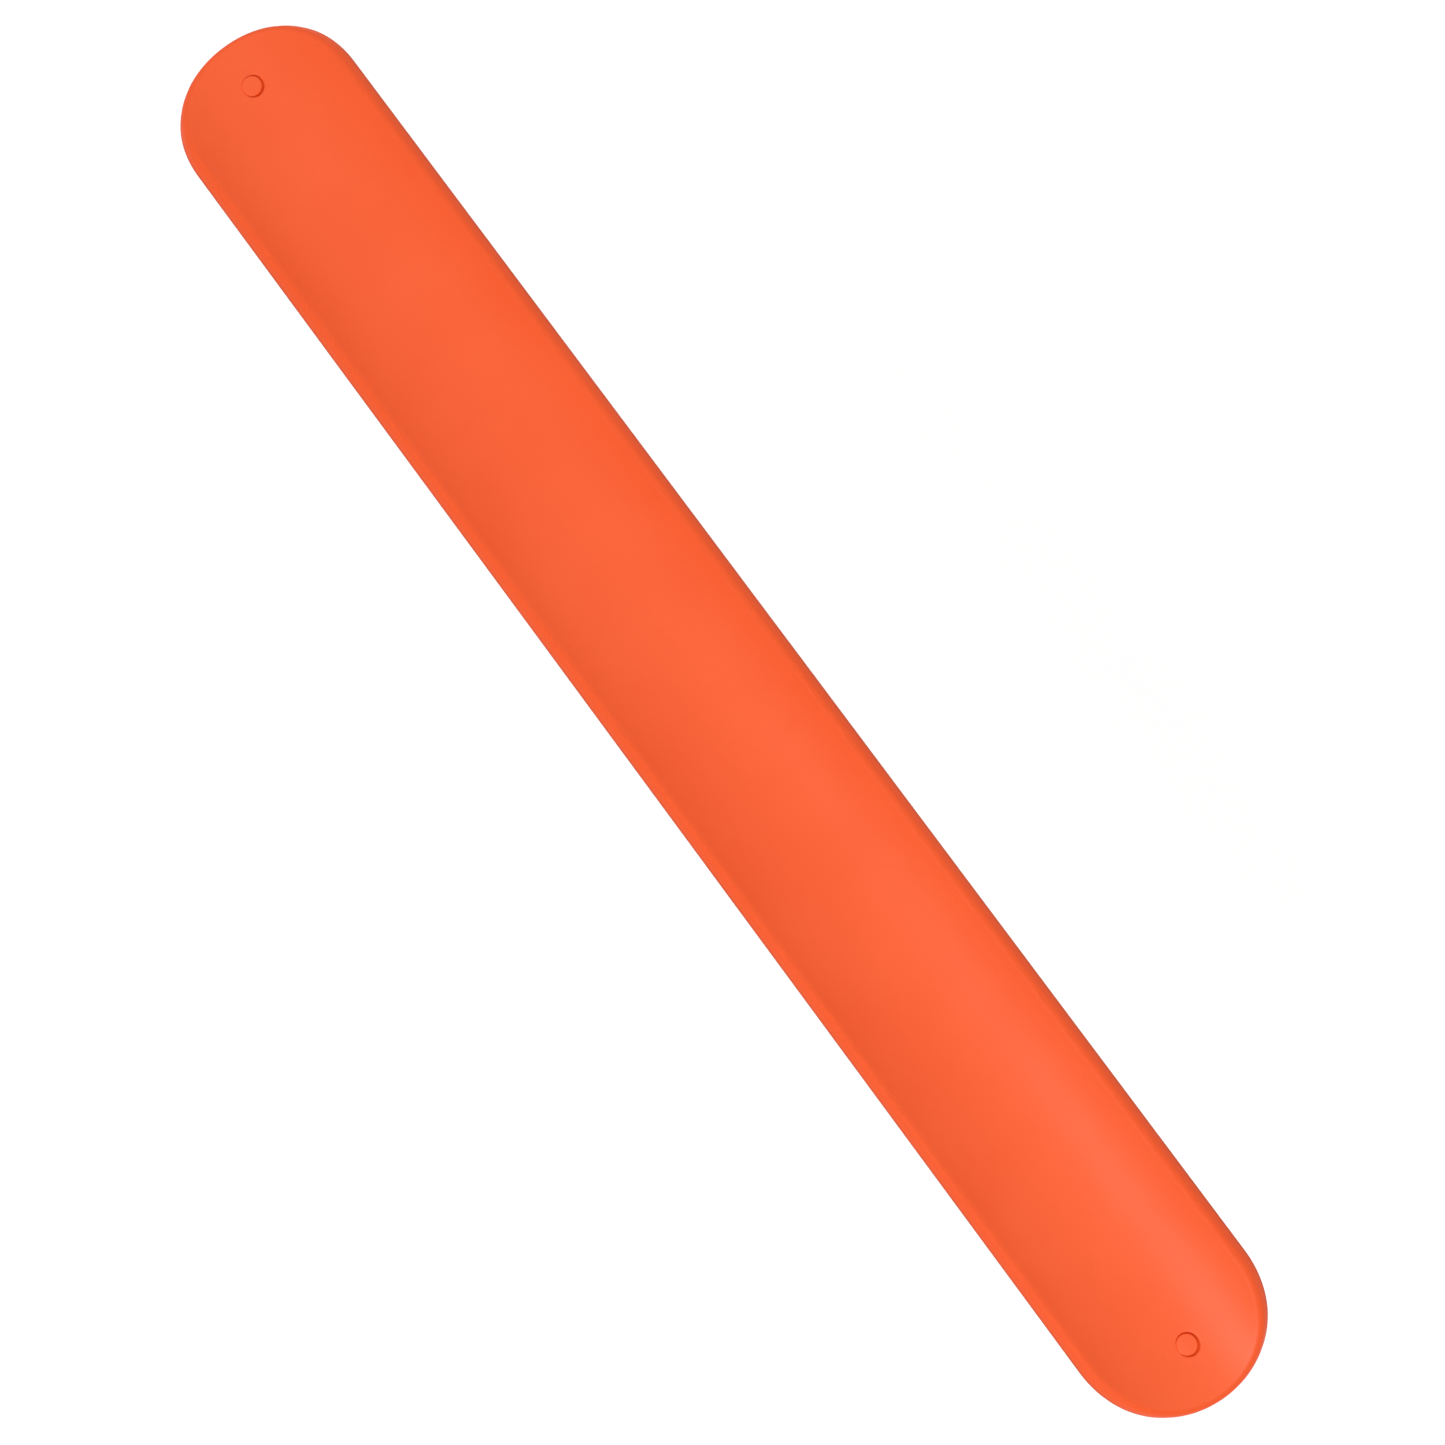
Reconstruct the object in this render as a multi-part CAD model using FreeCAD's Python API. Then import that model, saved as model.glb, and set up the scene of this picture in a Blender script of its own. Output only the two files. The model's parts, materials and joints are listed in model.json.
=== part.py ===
import FreeCAD, Part
import math
import os

# A silicone slap band lying straight, in millimetres. +X runs along the band, +Y across it, +Z up.
# The band is a shallow trough: the decorated face is the hollow side and looks up, and the convex
# back looks down and is the side that wraps round a wrist. The origin is on the back, at the
# middle of the band, where the straight band rests on a table.

# ---- Driving dimensions ---------------------------------------------------------------------

# The whole band
band_length = 222.0
band_width = 26.9           # measured round the curve of the trough
band_thickness = 2.7
trough_radius = 20.8        # of the surface half way through the thickness
rim_rounding = 0.85         # radius of the silicone's outer edges

# The spring strip inside
strip_thickness = 0.2
strip_width = 21.0          # measured round the curve
strip_end_cover = 3.2       # silicone past each tip of the strip, on average
strip_shift = -0.55         # the strip, and so its plugs, isn't quite in the middle of the jacket

# The thin guard folded over each end of the strip
guard_film = 0.15
guard_lap = 0.4             # how far the guard stands out past the strip's edge
guard_length = 8.0

# The plug that fills the locating hole near each end
plug_spacing = 206.8        # from centre to centre
plug_diameter = 2.8
plug_proud = 0.2            # how far its head stands up from the hollow face
plug_dome = 0.15            # rounding of its head
plug_shy = 0.05             # how far its foot stays inside the back
plug_ring_width = 0.19      # the groove that rings the head, on average
plug_ring_depth = 0.25
plug_ring_shift = (0.07, 0.16)  # the groove sits off centre, so it is wide on one side only
strip_hole_diameter = 3.6   # clear of the plug

# The stretches that the band bends in. The hinge lines lie on the back, which is the inside of
# the curl, so neighbouring stretches open like a fan and never press into each other.
hinges_per_side = 13
last_hinge_from_middle = 97.0
cut_width = 0.1             # gap between neighbouring stretches

# ---- Values worked out from them ------------------------------------------------------------

half_length = band_length / 2
hinge_pitch = last_hinge_from_middle / (hinges_per_side - 0.5)
axis_height = trough_radius + band_thickness / 2    # the trough's own centre line, over the band
plug_places = {"right": strip_shift + plug_spacing / 2, "left": strip_shift - plug_spacing / 2}
strip_half_length = half_length - strip_end_cover
clear_of_band = 20.0        # how far the cutting shapes reach past the band
outline_points = 13         # along each round end
offset_tolerance = 1e-4     # of the shapes grown from a curved surface


# ---- Shapes ---------------------------------------------------------------------------------

def round_end(radius, half_width, half_long, side):
    """One full-round end of the band's outline, seen from above, on a cylinder of this radius.

    The end is a half circle on the flat pattern. Bent into the trough it is a little narrower.
    """
    along = FreeCAD.Vector(side, 0, 0)
    points = []
    for i in range(outline_points):
        turn = math.pi * (i / (outline_points - 1) - 0.5)
        round_the_curve = half_width * math.sin(turn) * side
        x = side * (half_long - half_width + half_width * math.cos(turn))
        y = radius * math.sin(round_the_curve / trough_radius)
        points.append(FreeCAD.Vector(x, y, 0))
    curve = Part.BSplineCurve()
    curve.interpolate(Points=points, InitialTangent=along, FinalTangent=-along)
    return points, curve.toShape()


def trough_face(radius, half_width, half_long):
    """An outline like the band's, cut out of a cylinder of this radius that lies along the band."""
    right_points, right_end = round_end(radius, half_width, half_long, 1)
    left_points, left_end = round_end(radius, half_width, half_long, -1)
    back_side = Part.LineSegment(right_points[-1], left_points[0]).toShape()
    front_side = Part.LineSegment(left_points[-1], right_points[0]).toShape()
    outline = Part.Face(Part.Wire([right_end, back_side, left_end, front_side]))
    outline.translate(FreeCAD.Vector(0, 0, -clear_of_band))
    column = outline.extrude(FreeCAD.Vector(0, 0, clear_of_band + axis_height))
    start = FreeCAD.Vector(-half_length - clear_of_band, 0, axis_height)
    cylinder = Part.makeCylinder(
        radius, band_length + 2 * clear_of_band, start, FreeCAD.Vector(1, 0, 0))
    wall = [face for face in cylinder.Faces if isinstance(face.Surface, Part.Cylinder)][0]
    return wall.common(column)


def curved_plate(thickness, half_width, half_long):
    """A plate of even thickness, centred on the trough's middle surface."""
    under = trough_face(trough_radius + thickness / 2, half_width, half_long)
    return under.makeOffsetShape(-thickness, offset_tolerance, fill=True).Solids[0]


def rounded_band():
    """The band's outside: a thin core, grown by the rounding of its rims."""
    core = curved_plate(band_thickness - 2 * rim_rounding, band_width / 2 - rim_rounding,
                        half_length - rim_rounding)
    return core.makeOffsetShape(rim_rounding, offset_tolerance, join=0).Solids[0]


def upright_rod(diameter, x):
    """A rod through the whole thickness of the band, for cutting holes."""
    foot = FreeCAD.Vector(x, 0, -clear_of_band)
    return Part.makeCylinder(diameter / 2, 2 * clear_of_band, foot)


def slab(x_from, x_to):
    """All the space between two places along the band."""
    corner = FreeCAD.Vector(x_from, -clear_of_band, -clear_of_band)
    return Part.makeBox(x_to - x_from, 2 * clear_of_band, 3 * clear_of_band, corner)


def plate_round_plugs(thickness, half_width, half_long):
    """A curved plate that lies like the strip, with a round hole near each end for the plugs."""
    plate = curved_plate(thickness, half_width, half_long)
    plate.translate(FreeCAD.Vector(strip_shift, 0, 0))
    for x in plug_places.values():
        plate = plate.cut(upright_rod(strip_hole_diameter, x))
    return plate


def spring_strip():
    """The whole steel strip."""
    return plate_round_plugs(strip_thickness, strip_width / 2, strip_half_length)


def end_guards():
    """The folded films over both ends of the strip, with the strip's own space inside them."""
    film = plate_round_plugs(strip_thickness + 2 * guard_film, strip_width / 2 + guard_lap,
                             strip_half_length + guard_lap)
    inner_end = strip_half_length - guard_length
    right = film.common(slab(strip_shift + inner_end, half_length))
    left = film.common(slab(-half_length, strip_shift - inner_end))
    return {"right": right, "left": left}


def locating_plug(x):
    """A short round plug right through the band, with a low domed head on the hollow face."""
    radius = plug_diameter / 2
    top = band_thickness + plug_proud
    plug = Part.makeCylinder(radius, top - plug_shy, FreeCAD.Vector(x, 0, plug_shy))
    rims = [edge for edge in plug.Edges
            if isinstance(edge.Curve, Part.Circle) and edge.CenterOfMass.z > band_thickness]
    return plug.makeFillet(plug_dome, rims)


def plug_seat(x):
    """The hole for a plug, with the crescent-shaped groove round its head."""
    ring_radius = plug_diameter / 2 + plug_ring_width
    along, across = plug_ring_shift
    centre = FreeCAD.Vector(x + along, across, band_thickness - plug_ring_depth)
    ring = Part.makeCylinder(ring_radius, clear_of_band, centre)
    return upright_rod(plug_diameter, x).fuse(ring)


def silicone_jacket(strip, guards):
    """The whole jacket, hollow where the strip and its guards lie."""
    jacket = rounded_band().cut(strip)
    for guard in guards.values():
        jacket = jacket.cut(guard)
    for x in plug_places.values():
        jacket = jacket.cut(plug_seat(x))
    return jacket


def stretches():
    """Name and both ends of each stretch of the band, from the middle outwards."""
    half_cut = cut_width / 2
    yield "middle", -hinge_pitch / 2 + half_cut, hinge_pitch / 2 - half_cut
    for k in range(1, hinges_per_side + 1):
        near = (k - 0.5) * hinge_pitch + half_cut
        far = (k + 0.5) * hinge_pitch - half_cut
        if k == hinges_per_side:
            far = half_length + clear_of_band
        yield f"right_{k:02d}", near, far
        yield f"left_{k:02d}", -far, -near


# ---- The sub-parts --------------------------------------------------------------------------

os.makedirs("parts", exist_ok=True)
strip = spring_strip()
guards = end_guards()
jacket = silicone_jacket(strip, guards)
guards = {side: guard.cut(strip) for side, guard in guards.items()}

nodes = {}
for place, x_from, x_to in stretches():
    nodes[f"jacket_{place}"] = jacket.common(slab(x_from, x_to))
    nodes[f"spring_{place}"] = strip.common(slab(x_from, x_to))
for side, x in plug_places.items():
    nodes[f"end_guard_{side}"] = guards[side]
    nodes[f"locating_plug_{side}"] = locating_plug(x)

for name, shape in nodes.items():
    solid = shape.Solids[0]
    solid.exportStep(f"parts/{name}.step")
    print(name, "solids", len(shape.Solids), "volume", round(solid.Volume, 2))
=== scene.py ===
# %% [markdown]
# # A silicone slap band
#
# A slap band is a soft orange strip with a thin curved spring hidden inside. Lying straight it is a
# shallow trough, hollow side up. Slapped on a wrist, it snaps into a ring with its back inside.
#
# The frame that we load first knows where every stretch of the band is and how it turns. Blender's
# job is the looks: smooth silicone with soft rims, and a skin cut at the seams into pieces that
# share their points. We only add pieces to the frame. We never move it.

# %% Load the frame
import json
import math

import bmesh
import bpy
from mathutils import Matrix, Vector


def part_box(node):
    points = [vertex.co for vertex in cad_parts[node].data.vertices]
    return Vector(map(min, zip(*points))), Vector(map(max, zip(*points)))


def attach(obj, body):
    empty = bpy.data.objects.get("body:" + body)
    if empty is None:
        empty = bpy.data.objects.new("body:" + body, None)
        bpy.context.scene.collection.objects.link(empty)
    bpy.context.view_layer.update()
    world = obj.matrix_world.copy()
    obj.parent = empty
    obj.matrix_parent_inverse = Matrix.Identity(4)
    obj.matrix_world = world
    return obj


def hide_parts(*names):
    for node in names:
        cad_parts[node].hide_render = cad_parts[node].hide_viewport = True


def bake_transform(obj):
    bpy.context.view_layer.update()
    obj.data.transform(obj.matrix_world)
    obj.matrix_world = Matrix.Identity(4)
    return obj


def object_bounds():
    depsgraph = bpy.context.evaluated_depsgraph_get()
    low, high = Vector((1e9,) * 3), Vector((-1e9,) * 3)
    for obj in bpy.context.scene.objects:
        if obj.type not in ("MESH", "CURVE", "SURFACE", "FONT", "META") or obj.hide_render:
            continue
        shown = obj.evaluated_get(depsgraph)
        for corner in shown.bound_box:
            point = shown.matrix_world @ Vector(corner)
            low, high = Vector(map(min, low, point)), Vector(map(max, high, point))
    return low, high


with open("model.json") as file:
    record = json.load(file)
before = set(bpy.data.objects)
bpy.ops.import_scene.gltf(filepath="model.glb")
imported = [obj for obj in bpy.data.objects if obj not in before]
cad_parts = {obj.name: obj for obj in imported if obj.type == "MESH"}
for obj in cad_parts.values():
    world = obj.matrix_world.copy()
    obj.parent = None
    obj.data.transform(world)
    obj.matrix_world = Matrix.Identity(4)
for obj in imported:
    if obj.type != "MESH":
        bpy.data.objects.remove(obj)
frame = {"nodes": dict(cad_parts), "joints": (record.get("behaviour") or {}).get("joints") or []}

cad_low, cad_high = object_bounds()

# %% [markdown]
# ## Sizes
#
# The length comes from the frame's box and the hinges from its joints, so that the skin fits them
# exactly. The hinges are evenly spaced. Half way between two hinges a stretch doesn't turn at all,
# and that is where one piece of skin can meet the next with no step, however far the band curls.
# Such a place is called a seam here, though nobody will see it.

# %% Sizes
MM = 0.001
right_hinges = sorted(j["pos_m"][0] for j in frame["joints"] if j["pos_m"][0] > 0)
hinge_pitch = right_hinges[1] - right_hinges[0]
hinges_per_side = len(right_hinges)
last_seam = hinges_per_side * hinge_pitch

band_width = 26.9 * MM          # measured round the curve
band_thickness = 2.7 * MM
trough_radius = 20.8 * MM       # of the surface half way through the thickness
rim_rounding = 0.85 * MM
print("a hinge every", round(hinge_pitch / MM, 3), "mm, last seam at", round(last_seam / MM, 2), "mm")

# %% [markdown]
# ## Working on the flat pattern
#
# A troughed band with round ends is awkward to draw. A flat one is easy: it is what would be punched
# out of sheet with one cutter. So every shape here is made flat first, with x along the band, y
# across it and z up through its thickness, and is rolled into the trough at the end. Rolling is one
# formula: the distance across becomes an angle round the trough's centre line. Blender's Simple
# Deform modifier could bend it too, but a formula gives the exact radius that the frame has.

# %% Roll a flat point into the trough
def rolled(flat):
    """Where a point of the flat pattern lies once the band is troughed."""
    turn = flat.y / trough_radius
    radius = trough_radius + band_thickness / 2 - flat.z
    centre_height = trough_radius + band_thickness / 2
    return Vector((flat.x, radius * math.sin(turn), centre_height - radius * math.cos(turn)))


rim_top = rolled(Vector((0, band_width / 2, band_thickness / 2)))
print("the rim stands", round(rim_top.z / MM, 2), "mm up and", round(rim_top.y / MM, 2), "mm out")

# %% [markdown]
# ## A plate with full-round ends
#
# The jacket, the spring strip and the pocket between them are all the same thing: a plate with
# round ends. Its top and bottom are grids of four-sided faces whose columns run along the band. The
# columns crowd together towards the sides as a sine does, so that their ends space themselves
# evenly round the half circle, and the outline stays smooth with no triangles in it.
#
# The rim is a short list of points that says how far out and how high the edge is, walked round the
# outline from the top face to the bottom face.

# %% Where the grid's lines run
COLUMNS = 72                # across the band
ROWS_PER_STRETCH = 8        # between two seams
END_ROWS = 36               # from the last straight row to the tip

straight_rows = [k * hinge_pitch / ROWS_PER_STRETCH
                 for k in range((hinges_per_side - 1) * ROWS_PER_STRETCH + 1)]


def half_column(v, tip, half_width):
    """The places along one column, from the row next to the middle to the round end."""
    reach = tip - half_width + math.sqrt(max(half_width ** 2 - v ** 2, 0))
    last = straight_rows[-1]
    end = [last + (reach - last) * k / END_ROWS for k in range(1, END_ROWS + 1)]
    return straight_rows[1:] + end


def column_rows(v, left_tip, right_tip, half_width):
    """All the places along one column, from the left tip to the right tip."""
    left = [-u for u in reversed(half_column(v, -left_tip, half_width))]
    return left + [0.0] + half_column(v, right_tip, half_width)


print(len(straight_rows), "straight rows on each side of the middle")

# %% [markdown]
# ## From rows and columns to a closed plate
#
# The top and the bottom are two copies of the same grid. The points along the outline are taken in
# order, all the way round, and each further step of the rim is that loop again, pushed outwards. The
# faces between two loops are all four-sided, and they shade without a crease.

# %% Build the plate
def bridge(shell, one, other):
    """Four-sided faces between two closed loops of equal length."""
    for k in range(len(one)):
        shell.faces.new((one[k - 1], one[k], other[k], other[k - 1]))


def plate(left_tip, right_tip, half_width, rim):
    """A closed flat plate. rim holds (out, height) from the top face's edge to the bottom's."""
    shell = bmesh.new()
    columns = [half_width * math.sin(math.pi * (j / COLUMNS - 0.5)) for j in range(COLUMNS + 1)]
    grids = []
    for height in (rim[0][1], rim[-1][1]):
        grids.append([[shell.verts.new((u, v, height))
                       for u in column_rows(v, left_tip, right_tip, half_width)]
                      for v in columns])
    last_row = len(grids[0][0]) - 1
    for grid in grids:
        for j in range(COLUMNS):
            for i in range(last_row):
                shell.faces.new((grid[j][i], grid[j][i + 1], grid[j + 1][i + 1], grid[j + 1][i]))

    outline = [(0, i) for i in range(last_row + 1)]
    outline += [(j, last_row) for j in range(1, COLUMNS + 1)]
    outline += [(COLUMNS, i) for i in range(last_row - 1, -1, -1)]
    outline += [(j, 0) for j in range(COLUMNS - 1, 0, -1)]
    loops = [[grids[0][j][i] for j, i in outline]]
    for out, height in rim[1:-1]:
        loop = []
        for vert in loops[0]:
            x, y = vert.co.xy
            straight_x = min(max(x, left_tip + half_width), right_tip - half_width)
            outward = Vector((x - straight_x, y)).normalized() * out
            loop.append(shell.verts.new((x + outward.x, y + outward.y, height)))
        loops.append(loop)
    loops.append([grids[1][j][i] for j, i in outline])
    for upper, lower in zip(loops, loops[1:]):
        bridge(shell, upper, lower)
    bmesh.ops.recalc_face_normals(shell, faces=shell.faces)
    return shell


# %% [markdown]
# ## Holes that belong to the grid
#
# Near each tip a small plug goes through the band. Cutting its hole with a Boolean would leave long
# thin faces that shade badly on a gentle curve like this one. Instead the faces round the hole are
# taken out, and rings of new faces lead from the gap's ragged edge to a true circle, down the hole
# and out at the other side. Every ring has as many points as the ragged edge, so all the faces
# stay four-sided.

# %% Drill a hole with a shaped mouth
HOLE_WINDOW = 2.6 * MM


def drill(shell, centre_x, upper_mouth, lower_mouth):
    """A hole through a flat plate.

    A mouth lists its rings from the outside inwards: radius, height, and the way that the ring's
    centre is shifted.
    """
    ends = []
    for level, mouth in ((max, upper_mouth), (min, lower_mouth)):
        height = level(vert.co.z for vert in shell.verts)
        middle = Vector((centre_x, 0, height))
        inside = [face for face in shell.faces
                  if all((vert.co - middle).length < HOLE_WINDOW for vert in face.verts)
                  and all(abs(vert.co.z - height) < 1e-9 for vert in face.verts)]
        count = {}
        for face in inside:
            for edge in face.edges:
                count[edge] = count.get(edge, 0) + 1
        edge_verts = {vert for edge, uses in count.items() if uses == 1 for vert in edge.verts}
        loop = sorted(edge_verts, key=lambda vert: math.atan2(vert.co.y, vert.co.x - centre_x))
        bmesh.ops.delete(shell, geom=inside, context="FACES")
        turns = [math.atan2(vert.co.y, vert.co.x - centre_x) for vert in loop]
        for radius, ring_height, (along, across) in mouth:
            ring = [shell.verts.new((centre_x + along + radius * math.cos(turn),
                                     across + radius * math.sin(turn), ring_height))
                    for turn in turns]
            bridge(shell, loop, ring)
            loop = ring
        ends.append(loop)
    bridge(shell, *ends)
    bmesh.ops.recalc_face_normals(shell, faces=shell.faces)
    return len(ends[0])


# %% [markdown]
# ## The silicone jacket
#
# The jacket is one moulding. Its rims are rounded top and bottom, and half way up runs the parting
# line, the hair-thin raised line where the two halves of the mould met. It is real geometry, about
# as high as a hair is thick, because it catches the light along the whole edge.
#
# Round each plug's head the face sinks into a groove. The plug doesn't sit quite in the middle of
# it, so the groove is a crescent: wide and dark on one side, and closed on the other.

# %% The jacket's outside
ARC_STEPS = 8
parting_height = 0.05 * MM
parting_width = 0.07 * MM


def rounded_rim():
    """The jacket's edge, from the top face round to the bottom face."""
    upper_centre, lower_centre = band_thickness - rim_rounding, rim_rounding
    middle = band_thickness / 2
    turns = [math.pi / 2 * k / ARC_STEPS for k in range(ARC_STEPS + 1)]
    upper = [(rim_rounding * math.sin(a), upper_centre + rim_rounding * math.cos(a)) for a in turns]
    lower = [(rim_rounding * math.cos(a), lower_centre - rim_rounding * math.sin(a)) for a in turns]
    proud = rim_rounding + parting_height
    parting = [(proud, middle + parting_width / 2), (proud, middle - parting_width / 2)]
    return upper + parting + lower


plug_boxes = {side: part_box(f"locating_plug_{side}") for side in ("left", "right")}
plug_places = {side: (low.x + high.x) / 2 for side, (low, high) in plug_boxes.items()}
plug_low, plug_high = plug_boxes["right"]
plug_radius = (plug_high.x - plug_low.x) / 2
groove_radius = plug_radius + 0.19 * MM
groove_depth = 0.25 * MM
groove_shift = (0.07 * MM, 0.16 * MM)
centred = (0, 0)

upper_mouth = [
    (groove_radius + 0.25 * MM, band_thickness, groove_shift),
    (groove_radius + 0.1 * MM, band_thickness - 0.008 * MM, groove_shift),
    (groove_radius + 0.03 * MM, band_thickness - 0.04 * MM, groove_shift),
    (groove_radius, band_thickness - 0.10 * MM, groove_shift),
    (groove_radius, band_thickness - groove_depth, groove_shift),
    (plug_radius, band_thickness - groove_depth, centred),
]
lower_mouth = [
    (plug_radius + 0.4 * MM, 0, centred),
    (plug_radius + 0.12 * MM, 0, centred),
    (plug_radius + 0.03 * MM, 0.04 * MM, centred),
    (plug_radius, 0.12 * MM, centred),
]

jacket = plate(cad_low.x + rim_rounding, cad_high.x - rim_rounding,
               band_width / 2 - rim_rounding, rounded_rim())
for place in plug_places.values():
    points = drill(jacket, place, upper_mouth, lower_mouth)
print("jacket outside:", len(jacket.faces), "faces,", points, "points round each hole")

# %% [markdown]
# ## The pocket and the spring strip
#
# Inside the jacket lies the strip of spring steel, 0.2 mm thick, with a hole at each end that the
# plug passes through. The silicone is moulded straight onto it, so the jacket's pocket has the
# strip's own shape. Over the strip's ends the pocket swells, because a thin film is folded over the
# steel there. None of it shows, but a jacket made as one solid lump would be the wrong object.
#
# The pocket is a plate too, turned inside out: its faces point into the hollow.

# %% The strip and the pocket
strip_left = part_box("spring_left_13")[0].x
strip_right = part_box("spring_right_13")[1].x
strip_half_width = 10.5 * MM
strip_half_thick = 0.1 * MM
strip_hole = 1.8 * MM
guard_film = 0.15 * MM
left_guard_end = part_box("end_guard_left")[1].x
right_guard_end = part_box("end_guard_right")[0].x
middle_height = band_thickness / 2
strip_rim = [(0, middle_height + strip_half_thick), (0, middle_height - strip_half_thick)]


def strip_plate():
    """The spring strip, flat, with its two holes."""
    shell = plate(strip_left, strip_right, strip_half_width, strip_rim)
    for place in plug_places.values():
        drill(shell, place, [(strip_hole, strip_rim[0][1], centred)],
              [(strip_hole, strip_rim[1][1], centred)])
    return shell


strip = strip_plate()
pocket = strip_plate()
for vert in pocket.verts:
    if not left_guard_end < vert.co.x < right_guard_end:
        vert.co.z += math.copysign(guard_film, vert.co.z - middle_height)
bmesh.ops.reverse_faces(pocket, faces=pocket.faces)

hollow = bpy.data.meshes.new("pocket")
pocket.to_mesh(hollow)
jacket.from_mesh(hollow)
bpy.data.meshes.remove(hollow)
print("jacket with its pocket:", len(jacket.faces), "faces; strip:", len(strip.faces), "faces")

# %% [markdown]
# ## Cut at the seams, roll, and close
#
# A band that bends all along its length can't ride on rigid stretches as one object. So it is cut at
# the seams into short pieces, one round each hinge. Two neighbours share the same points along
# their seam, so the skin is whole at rest.
#
# Each piece is closed with a cap at its seams, because a solid piece should be a closed mesh. The
# cap is filled after rolling, when its outline is the real crescent. The edges of a cap are marked
# sharp, which keeps its sideways direction out of the skin's smooth shading.

# %% Sort the faces by piece
def cut_at_last_seams(shell):
    """The other seams already have a row of their own."""
    for seam in (-last_seam, last_seam):
        everything = shell.verts[:] + shell.edges[:] + shell.faces[:]
        bmesh.ops.bisect_plane(shell, geom=everything, dist=1e-8,
                               plane_co=(seam, 0, 0), plane_no=(1, 0, 0))


def faces_by_piece(shell):
    """Number of the seam to the left of each piece, with the faces that the piece has."""
    cut_at_last_seams(shell)
    sorted_faces = {}
    for face in shell.faces:
        number = math.floor(face.calc_center_median().x / hinge_pitch)
        number = min(max(number, -hinges_per_side - 1), hinges_per_side)
        sorted_faces.setdefault(number, []).append(face)
    return sorted_faces


# %% [markdown]
# ## One piece of skin
#
# A piece gets its own points, rolled into the trough. It also notes where each point lay on the flat
# pattern, for the silicone's texture, and how far into the rim it is, for the painted shade on the
# rim.

# %% Make one closed piece
def close_ends(piece, seams):
    """Fills the open crescents, and turns each cap to face away from the piece."""
    for seam, facing in seams:
        rim = [edge for edge in piece.edges
               if edge.is_boundary and all(abs(vert.co.x - seam) < 1e-7 for vert in edge.verts)]
        for edge in rim:
            edge.smooth = False
        made = bmesh.ops.triangle_fill(piece, use_beauty=True, edges=rim, normal=(facing, 0, 0))
        for cap in (item for item in made["geom"] if isinstance(item, bmesh.types.BMFace)):
            cap.smooth = False
            if cap.normal.x * facing < 0:
                cap.normal_flip()


def into_rim(flat):
    """How far a flat point lies beyond the face's edge, where the rim's rounding starts."""
    face_half_width = band_width / 2 - rim_rounding
    end_centre = cad_high.x - band_width / 2
    past_end = max(abs(flat.x) - end_centre, 0)
    return max(math.hypot(past_end, flat.y) - face_half_width, 0)


def make_piece(name, faces, seams):
    """A new object from some faces of a flat shell, rolled into the trough."""
    piece = bmesh.new()
    place = piece.verts.layers.float_vector.new("flat_place")
    rim = piece.verts.layers.float.new("rim")
    copies = {}
    for face in faces:
        for vert in face.verts:
            if vert not in copies:
                copies[vert] = piece.verts.new(rolled(vert.co))
                copies[vert][place] = vert.co / MM
                copies[vert][rim] = into_rim(vert.co) / MM
        piece.faces.new([copies[vert] for vert in face.verts]).smooth = True
    piece.normal_update()
    close_ends(piece, seams)
    open_edges = sum(not edge.is_manifold for edge in piece.edges)
    if open_edges:
        print(name, "has", open_edges, "open edges")
    mesh = bpy.data.meshes.new(name)
    piece.to_mesh(mesh)
    piece.free()
    made = bpy.data.objects.new(name, mesh)
    bpy.context.scene.collection.objects.link(made)
    return made


# %% [markdown]
# ## The locating plugs
#
# While the silicone was moulded, two pins through the holes of the strip held it in the middle of
# the thickness. The holes that the pins left are filled with plugs of the same silicone. A plug's
# head stands a little proud of the face and is softly domed, so that from above it is hardly more
# than a ring, bright on the side towards the light and dark on the other.
#
# A round thing is easiest as a lathe: draw half of its outline, and spin it. The Screw modifier
# does the same, but a spun mesh needs no applying.

# %% Spin a plug
PLUG_SEGMENTS = 48
SHOULDER_STEPS = 8
CROWN_STEPS = 5
plug_shoulder = 0.16 * MM       # rounding of the head's rim
plug_crown = 0.06 * MM          # how much the middle of the head rises above its rim
plug_foot_bevel = 0.1 * MM


def plug_outline():
    """(radius, height) from the middle of the foot to the middle of the domed head."""
    foot, top = plug_low.z, plug_high.z
    outline = [(0, foot), (plug_radius - plug_foot_bevel, foot),
               (plug_radius, foot + plug_foot_bevel)]
    for k in range(SHOULDER_STEPS + 1):
        turn = math.pi / 2 * k / SHOULDER_STEPS
        outline.append((plug_radius - plug_shoulder * (1 - math.cos(turn)),
                        top - plug_crown - plug_shoulder * (1 - math.sin(turn))))
    crown_radius = plug_radius - plug_shoulder
    for k in range(1, CROWN_STEPS + 1):
        to_middle = 1 - k / CROWN_STEPS
        outline.append((crown_radius * to_middle, top - plug_crown * to_middle ** 2))
    return outline


def spun_plug(name, x):
    """A closed round solid, upright at x."""
    shape = bmesh.new()
    outline = plug_outline()
    foot = shape.verts.new((0, 0, outline[0][1]))
    head = shape.verts.new((0, 0, outline[-1][1]))
    rings = []
    for radius, height in outline[1:-1]:
        turns = [2 * math.pi * k / PLUG_SEGMENTS for k in range(PLUG_SEGMENTS)]
        rings.append([shape.verts.new((radius * math.cos(a), radius * math.sin(a), height))
                      for a in turns])
    for lower, upper in zip(rings, rings[1:]):
        bridge(shape, lower, upper)
    for k in range(PLUG_SEGMENTS):
        shape.faces.new((rings[0][k - 1], rings[0][k], foot))
        shape.faces.new((rings[-1][k - 1], rings[-1][k], head))
    bmesh.ops.recalc_face_normals(shape, faces=shape.faces)
    for face in shape.faces:
        face.smooth = True
    mesh = bpy.data.meshes.new(name)
    shape.to_mesh(mesh)
    shape.free()
    plug = bpy.data.objects.new(name, mesh)
    plug.location.x = x
    bpy.context.scene.collection.objects.link(plug)
    return plug


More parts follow.
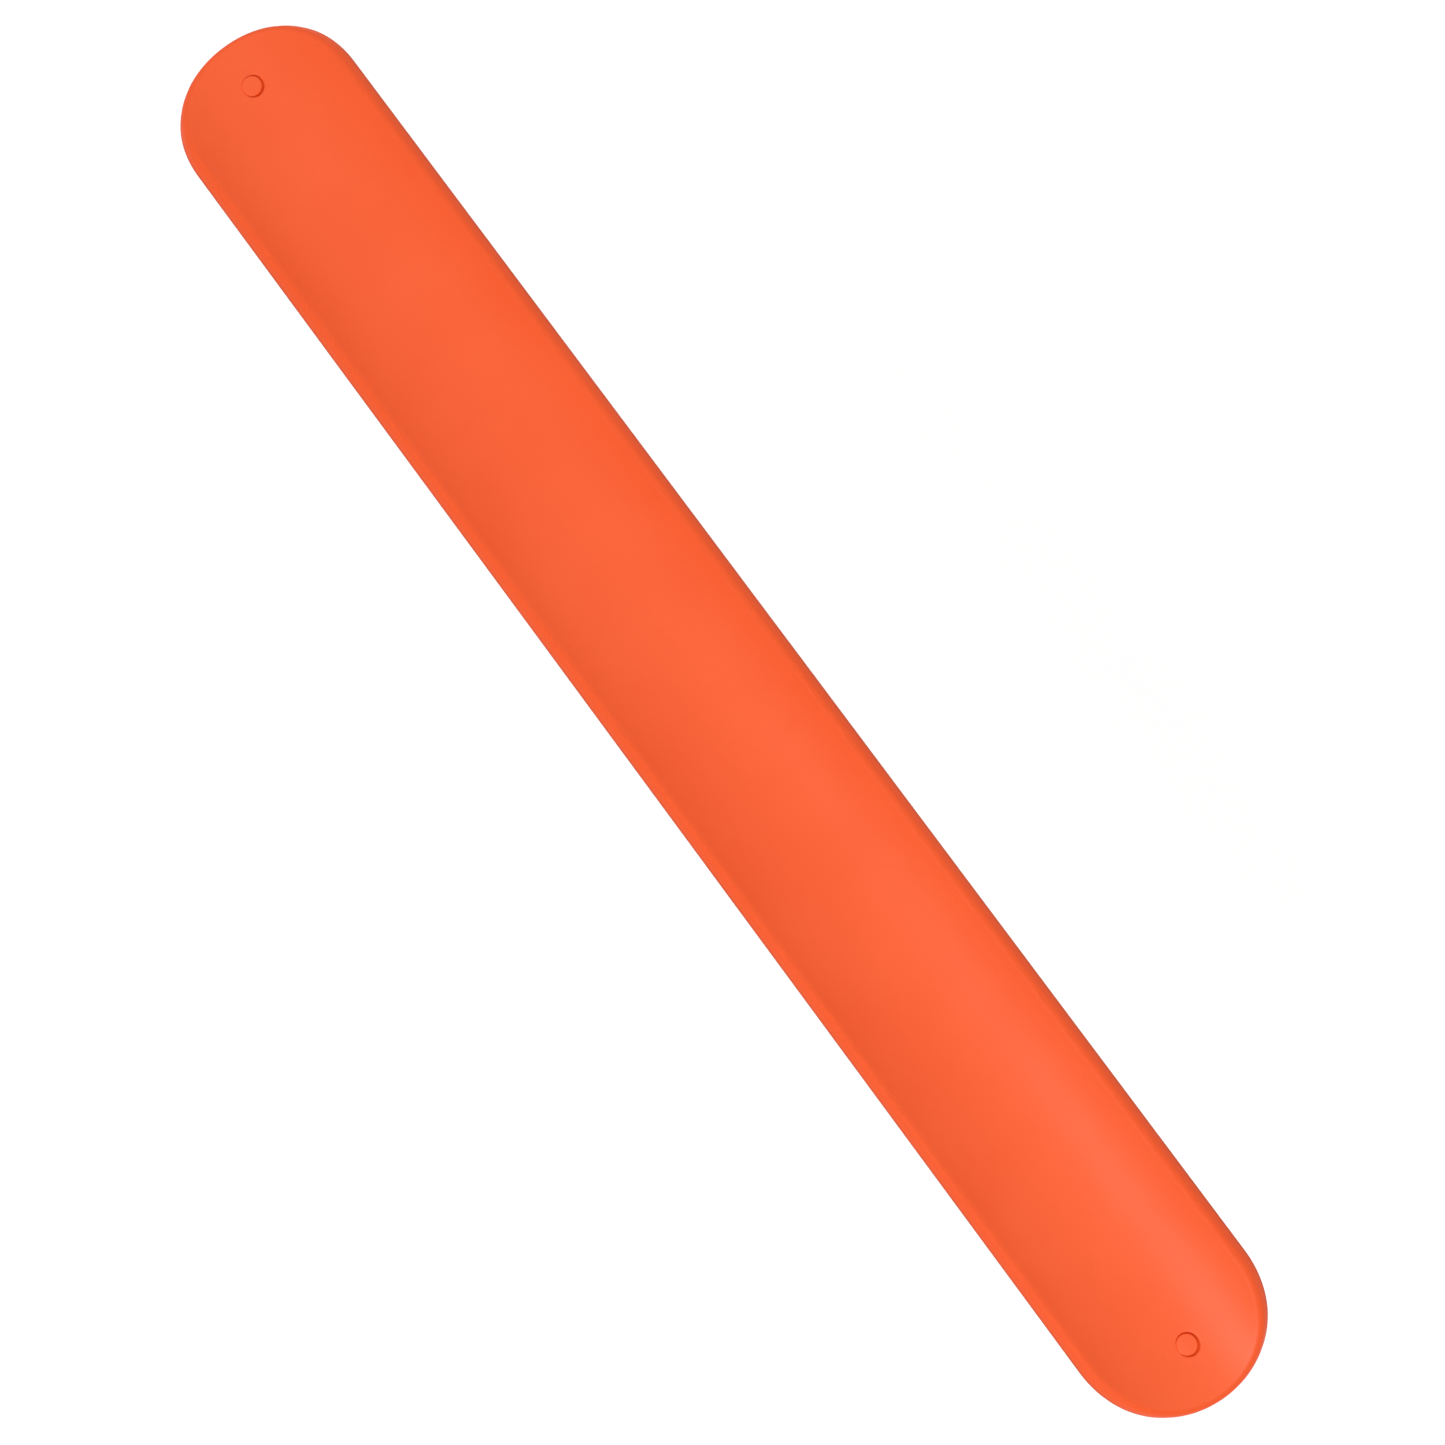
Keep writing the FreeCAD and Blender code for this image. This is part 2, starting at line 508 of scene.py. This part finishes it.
plugs = {side: spun_plug(f"plug_{side}", place) for side, place in plug_places.items()}
print("plugs", round(2 * plug_radius / MM, 2), "mm across at", plug_places)

# %% [markdown]
# ## Cut the pieces and fix the end pieces to the frame
#
# The two end pieces lie past the last seam, on the last stretch only, so they simply ride on
# it. The pieces round the hinges stay where they were made.

# %% Dress every stretch
def body_name(number):
    """The frame's name for a stretch: the middle is 0, the right side counts up."""
    if number == 0:
        return "middle"
    return f"{'right' if number > 0 else 'left'}_{abs(number):02d}"


def dress(shell, name, node):
    """Cuts a flat shell into pieces and fixes the two end pieces to the frame. Returns the pieces."""
    made = []
    for number, faces in sorted(faces_by_piece(shell).items()):
        left, right = number * hinge_pitch, (number + 1) * hinge_pitch
        if number == -hinges_per_side - 1:
            piece = make_piece(f"{name}_left_end", faces, [(right, 1)])
            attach(piece, body_name(number + 1))
            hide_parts(f"{node}_{body_name(number + 1)}")
        elif number == hinges_per_side:
            piece = make_piece(f"{name}_right_end", faces, [(left, -1)])
            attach(piece, body_name(number))
            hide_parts(f"{node}_{body_name(number)}")
        else:
            bodies = body_name(number), body_name(number + 1)
            outer = bodies[1] if number >= 0 else bodies[0]
            piece = make_piece(f"{name}_{outer}", faces, [(left, -1), (right, 1)])
            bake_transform(piece)
            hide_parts(*(f"{node}_{body}" for body in bodies))
        made.append(piece)
    shell.free()
    return made


jacket_pieces = dress(jacket, "silicone", "jacket")
strip_pieces = dress(strip, "strip", "spring")
for side, plug in plugs.items():
    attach(plug, f"{side}_{hinges_per_side}")
    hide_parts(f"locating_plug_{side}")
print(len(jacket_pieces), "pieces of silicone and", len(strip_pieces), "of spring strip")

# %% [markdown]
# ## Orange silicone
#
# Moulded silicone is matt but not chalky: light slides over it in one wide soft sheen. Close up it
# has a very fine satin grain from the blasted steel of the mould, a slight orange-peel waviness,
# and faint clouds where the pigment is a little denser. Along the rims the orange is painted deeper,
# as painted shade that keeps the rounded rim from looking brighter than the face, and the rims are
# rougher with less sheen. Along the lower rim runs a thin brownish line of painted shade, rougher
# still.
#
# The pattern reads the flat pattern's own coordinates, which each piece carries as `flat_place`, so
# it runs on across every seam, and it stays glued to the silicone when the band curls. Each piece
# also knows how far a point lies into the rim, as `rim`, so the painted shade on the rim and its
# lower side can follow the edge all the way round. A painted texture would need the skin unwrapped,
# and would show seams.

# %% Helpers for node materials
def new_finish(name):
    """A material with only a Principled shader and an output, and its node tree."""
    finish = bpy.data.materials.new(name)
    finish.use_nodes = True
    tree = finish.node_tree
    tree.nodes.clear()
    shader = tree.nodes.new("ShaderNodeBsdfPrincipled")
    output = tree.nodes.new("ShaderNodeOutputMaterial")
    tree.links.new(shader.outputs["BSDF"], output.inputs["Surface"])
    return finish, tree, shader


def noise(tree, place, scale, detail=2.0, roughness=0.5):
    """Soft random variation, with about scale bumps to one unit of place."""
    node = tree.nodes.new("ShaderNodeTexNoise")
    node.inputs["Scale"].default_value = scale
    node.inputs["Detail"].default_value = detail
    node.inputs["Roughness"].default_value = roughness
    tree.links.new(place, node.inputs["Vector"])
    return node.outputs["Fac"]


def between(tree, value, low, high, to_low, to_high):
    """Stretches value from low..high to to_low..to_high, and stops at both ends."""
    node = tree.nodes.new("ShaderNodeMapRange")
    for socket, number in zip(("From Min", "From Max", "To Min", "To Max"),
                              (low, high, to_low, to_high)):
        node.inputs[socket].default_value = number
    tree.links.new(value, node.inputs["Value"])
    return node.outputs["Result"]


def mixed(tree, share, first, second):
    """A colour between two colours. Either may be a colour or another node's output."""
    node = tree.nodes.new("ShaderNodeMix")
    node.data_type = "RGBA"
    tree.links.new(share, node.inputs["Factor"])
    for socket, colour in ((node.inputs[6], first), (node.inputs[7], second)):
        if isinstance(colour, bpy.types.NodeSocket):
            tree.links.new(colour, socket)
        else:
            socket.default_value = (*colour, 1)
    return node.outputs[2]


def bump(tree, height, distance, strength, under=None):
    """Bumps distance metres high. under is another bump's normal, which this one is added to."""
    node = tree.nodes.new("ShaderNodeBump")
    node.inputs["Distance"].default_value = distance
    node.inputs["Strength"].default_value = strength
    tree.links.new(height, node.inputs["Height"])
    if under:
        tree.links.new(under, node.inputs["Normal"])
    return node.outputs["Normal"]


def combine(tree, operation, first, second):
    """A Math node on two values, each a number or another node's output."""
    node = tree.nodes.new("ShaderNodeMath")
    node.operation = operation
    for socket, value in zip(node.inputs, (first, second)):
        if isinstance(value, bpy.types.NodeSocket):
            tree.links.new(value, socket)
        else:
            socket.default_value = value
    return node.outputs[0]


# %% The silicone
SILICONE_ORANGE = (0.905, 0.108, 0.020)
SILICONE_DENSE = (0.890, 0.100, 0.016)
# Painted shade: the rim's orange is darker than the face's, so that the rounded rim looks no brighter
# than the face.
RIM_SHADED_ORANGE = (0.855, 0.094, 0.018)
# Painted shade: a dark brownish line along the lower rim, where the rim turns under towards the
# table.
LOWER_RIM_SHADE = (0.330, 0.060, 0.022)


def rim_masks(tree, place, clouds):
    """Masks for the painted shade: the whole rim, and its lower side."""
    depth = tree.nodes.new("ShaderNodeAttribute")
    depth.attribute_name = "rim"
    height = tree.nodes.new("ShaderNodeSeparateXYZ")
    tree.links.new(place, height.inputs[0])
    # Mask for painted shade over the whole rounded rim. It also raises the roughness and lowers the
    # sheen there.
    rim_shade_mask = between(tree, depth.outputs["Fac"], 0.0, 0.35, 0, 1)
    outermost = between(tree, depth.outputs["Fac"], 0.3, 0.8, 0, 1)
    low = between(tree, height.outputs["Z"], 0.4, 1.3, 1, 0)
    patchy = between(tree, clouds, 0.3, 0.7, 0.7, 1)
    # Mask for painted shade along the outer, lower part of the rim, made patchy by the clouds.
    lower_rim_shade_mask = combine(tree, "MULTIPLY", combine(tree, "MULTIPLY", outermost, low), patchy)
    return rim_shade_mask, lower_rim_shade_mask


def silicone_finish(name, place_of):
    """place_of makes the node output, in millimetres, that the pattern follows."""
    finish, tree, shader = new_finish(name)
    place = place_of(tree)
    clouds = noise(tree, place, 0.06, 3.0)
    peel = noise(tree, place, 0.45, 2.0)
    grain = noise(tree, place, 5.0, 4.0, 0.6)
    rim_shade_mask, lower_rim_shade_mask = rim_masks(tree, place, clouds)
    colour = mixed(tree, between(tree, clouds, 0.35, 0.65, 0, 1), SILICONE_ORANGE, SILICONE_DENSE)
    # Painted shade: the rim is made a deeper orange.
    colour = mixed(tree, between(tree, rim_shade_mask, 0, 1, 0, 0.8), colour, RIM_SHADED_ORANGE)
    # Painted shade: the dark brownish line along the lower rim.
    colour = mixed(tree, between(tree, lower_rim_shade_mask, 0, 1, 0, 0.6), colour, LOWER_RIM_SHADE)
    tree.links.new(colour, shader.inputs["Base Color"])
    rough = combine(tree, "ADD", between(tree, clouds, 0.3, 0.7, 0.44, 0.50),
                    between(tree, grain, 0.3, 0.7, -0.03, 0.03))
    rough = combine(tree, "ADD", rough, between(tree, rim_shade_mask, 0, 1, 0, 0.15))
    rough = combine(tree, "ADD", rough, between(tree, lower_rim_shade_mask, 0, 1, 0, 0.25))
    tree.links.new(rough, shader.inputs["Roughness"])
    tree.links.new(between(tree, rim_shade_mask, 0, 1, 0.5, 0.3), shader.inputs["Specular IOR Level"])
    waves = bump(tree, peel, 0.02 * MM, 0.5)
    tree.links.new(bump(tree, grain, 0.01 * MM, 0.35, waves), shader.inputs["Normal"])
    shader.inputs["IOR"].default_value = 1.41
    return finish


def flat_place(tree):
    """The flat pattern's coordinates, in millimetres, that the pieces made here carry."""
    node = tree.nodes.new("ShaderNodeAttribute")
    node.attribute_name = "flat_place"
    return node.outputs["Vector"]


def own_place(tree):
    """For a piece of the frame itself: its own coordinates, turned into millimetres."""
    source = tree.nodes.new("ShaderNodeTexCoord")
    scale = tree.nodes.new("ShaderNodeVectorMath")
    scale.operation = "SCALE"
    scale.inputs["Scale"].default_value = 1 / MM
    tree.links.new(source.outputs["Object"], scale.inputs[0])
    return scale.outputs["Vector"]


jacket_silicone = silicone_finish("jacket_silicone", flat_place)
plug_silicone = silicone_finish("plug_silicone", own_place)
for piece in jacket_pieces:
    piece.data.materials.append(jacket_silicone)
for plug in plugs.values():
    plug.data.materials.append(plug_silicone)
print("silicone on", len(jacket_pieces), "pieces and", len(plugs), "plugs")

# %% [markdown]
# ## Spring steel and guard film
#
# Cold-rolled spring strip keeps the lines of the rolls: long faint streaks, lengthwise, with the
# light stretched across them. The film over its ends is milky polyester, almost plain, with a few
# hairline scuffs.

# %% The steel and the film
STEEL_BRIGHT = (0.60, 0.61, 0.63)
STEEL_DULL = (0.52, 0.52, 0.53)
FILM_CLEAN = (0.80, 0.80, 0.76)
FILM_SCUFFED = (0.70, 0.70, 0.67)


def stretched(tree, place, factors):
    """place squeezed or stretched along each axis, so that a round noise becomes streaks."""
    node = tree.nodes.new("ShaderNodeVectorMath")
    node.operation = "MULTIPLY"
    node.inputs[1].default_value = factors
    tree.links.new(place, node.inputs[0])
    return node.outputs["Vector"]


def steel_finish():
    """Cold-rolled steel with lengthwise streaks."""
    finish, tree, shader = new_finish("spring_steel")
    place = flat_place(tree)
    streaks = noise(tree, stretched(tree, place, (0.05, 6.0, 1.0)), 1.0, 4.0, 0.6)
    tint = noise(tree, place, 0.08, 2.0)
    colour = mixed(tree, between(tree, tint, 0.35, 0.65, 0, 1), STEEL_BRIGHT, STEEL_DULL)
    tree.links.new(colour, shader.inputs["Base Color"])
    tree.links.new(between(tree, streaks, 0.3, 0.7, 0.24, 0.38), shader.inputs["Roughness"])
    tree.links.new(bump(tree, streaks, 0.004 * MM, 0.4), shader.inputs["Normal"])
    shader.inputs["Metallic"].default_value = 1.0
    return finish


def film_finish():
    """Milky polyester film with hairline scuffs."""
    finish, tree, shader = new_finish("guard_film")
    place = own_place(tree)
    scuffs = noise(tree, stretched(tree, place, (0.3, 4.0, 1.0)), 1.0, 5.0, 0.7)
    colour = mixed(tree, between(tree, scuffs, 0.45, 0.75, 0, 1), FILM_CLEAN, FILM_SCUFFED)
    tree.links.new(colour, shader.inputs["Base Color"])
    tree.links.new(between(tree, scuffs, 0.3, 0.7, 0.30, 0.48), shader.inputs["Roughness"])
    tree.links.new(bump(tree, scuffs, 0.003 * MM, 0.3), shader.inputs["Normal"])
    return finish


spring_steel, guard_film_finish = steel_finish(), film_finish()
for piece in strip_pieces:
    piece.data.materials.append(spring_steel)
for side in ("right", "left"):
    frame["nodes"][f"end_guard_{side}"].data.materials.clear()
    frame["nodes"][f"end_guard_{side}"].data.materials.append(guard_film_finish)
print("steel on", len(strip_pieces), "pieces, film on both end guards")

# %% [markdown]
# ## The floor
#
# Catalogue pictures of small things are often taken with the thing on a sheet of clear glass, well
# above a light table of opal glass. The table is lit from below, so it stays pure white, and the
# shadow falls too far away to show. We leave the clear sheet out, because nothing of it would be
# seen. The gap also leaves room for the band to curl, which it does downwards.

# %% Floor
table_radius = 3.0              # metres
table_drop = 80 * MM            # more than the height of the curled ring


def opal_glass():
    """White glass, lit from below and slightly hazy."""
    finish, tree, shader = new_finish("opal_glass")
    place = own_place(tree)
    haze = noise(tree, place, 0.02, 2.0)
    tree.links.new(mixed(tree, haze, (0.26, 0.26, 0.26), (0.24, 0.24, 0.24)),
                   shader.inputs["Base Color"])
    shader.inputs["Roughness"].default_value = 0.9
    shader.inputs["Emission Color"].default_value = (1, 1, 1, 1)
    shader.inputs["Emission Strength"].default_value = 0.80
    return finish


floor_mesh = bpy.data.meshes.new("table_top")
floor_shape = bmesh.new()
bmesh.ops.create_circle(floor_shape, cap_ends=True, segments=96, radius=table_radius)
floor_shape.to_mesh(floor_mesh)
floor_shape.free()
floor = bpy.data.objects.new("table_top", floor_mesh)
floor.location.z = cad_low.z - table_drop
bpy.context.scene.collection.objects.link(floor)
floor.data.materials.append(opal_glass())
print("table top", round(-floor.location.z / MM, 1), "mm below the band")

# %% [markdown]
# ## The light
#
# A large softbox hangs overhead. A smaller one near the right end draws the soft sheen along one
# side of the trough, and a weak one past the left end lifts that end a little. The room's walls are
# pale, so that they run into the table at the horizon, and its ceiling is dimmer than they are.

# %% Light
WALL_GLOW, CEILING_GLOW = 0.95, 0.36
CEILING_STARTS = 0.2            # height of a direction: 0 is level, 1 is straight up

room = bpy.data.worlds.new("pale_room")
room.use_nodes = True
walls = room.node_tree
backdrop = walls.nodes["Background"]
direction = walls.nodes.new("ShaderNodeTexCoord")
height = walls.nodes.new("ShaderNodeSeparateXYZ")
walls.links.new(direction.outputs["Generated"], height.inputs[0])
glow = between(walls, height.outputs["Z"], 0, CEILING_STARTS, WALL_GLOW, CEILING_GLOW)
walls.links.new(glow, backdrop.inputs["Strength"])
backdrop.inputs["Color"].default_value = (1, 1, 1, 1)
bpy.context.scene.world = room


def softbox(name, place, size, power):
    """A square area light that looks at the middle of the band."""
    lamp = bpy.data.lights.new(name, "AREA")
    lamp.size = size
    lamp.energy = power
    box = bpy.data.objects.new(name, lamp)
    box.location = place
    box.rotation_mode = "QUATERNION"
    box.rotation_quaternion = (-Vector(place)).to_track_quat("-Z", "Y")
    bpy.context.scene.collection.objects.link(box)


softbox("overhead_softbox", place=(0, 0.15, 1.0), size=2.8, power=14.0)
softbox("near_softbox", place=(0.235, -0.30, 0.455), size=0.15, power=1.2)
softbox("left_softbox", place=(-0.42, -0.06, 0.20), size=0.10, power=0.20)

# %% [markdown]
# ## The camera
#
# The camera looks almost straight down, from a little towards the right end, and is turned so that
# the long band fits the square picture from corner to corner. The right end is nearer to it and
# looks a little wider.

# %% Camera
camera_foot = 64 * MM           # how far the camera stands off the middle, towards the right end
camera_distance = 450 * MM
aim = Vector((3.3 * MM, -0.22 * MM, 0))
image_turn = math.radians(36.6)
lens = 85.3

camera_height = math.sqrt(camera_distance ** 2 - camera_foot ** 2)
eye = Vector((camera_foot, 0, camera_height))
camera = bpy.data.cameras.new("camera")
camera.lens = lens
camera.sensor_width = 36.0
camera_holder = bpy.data.objects.new("camera", camera)
bpy.context.scene.collection.objects.link(camera_holder)
back = (eye - aim).normalized()
away = Vector((-1, 0, 0))
right = away.cross(back).normalized()
up = back.cross(right)
turned_right = right * math.cos(image_turn) - up * math.sin(image_turn)
turned_up = right * math.sin(image_turn) + up * math.cos(image_turn)
camera_holder.location = eye
camera_holder.rotation_mode = "QUATERNION"
camera_axes = Matrix((turned_right, turned_up, back)).transposed()
camera_holder.rotation_quaternion = camera_axes.to_quaternion()
bpy.context.scene.camera = camera_holder
bpy.context.scene.view_settings.view_transform = "Standard"
print("camera", round(camera_height / MM), "mm above the band")
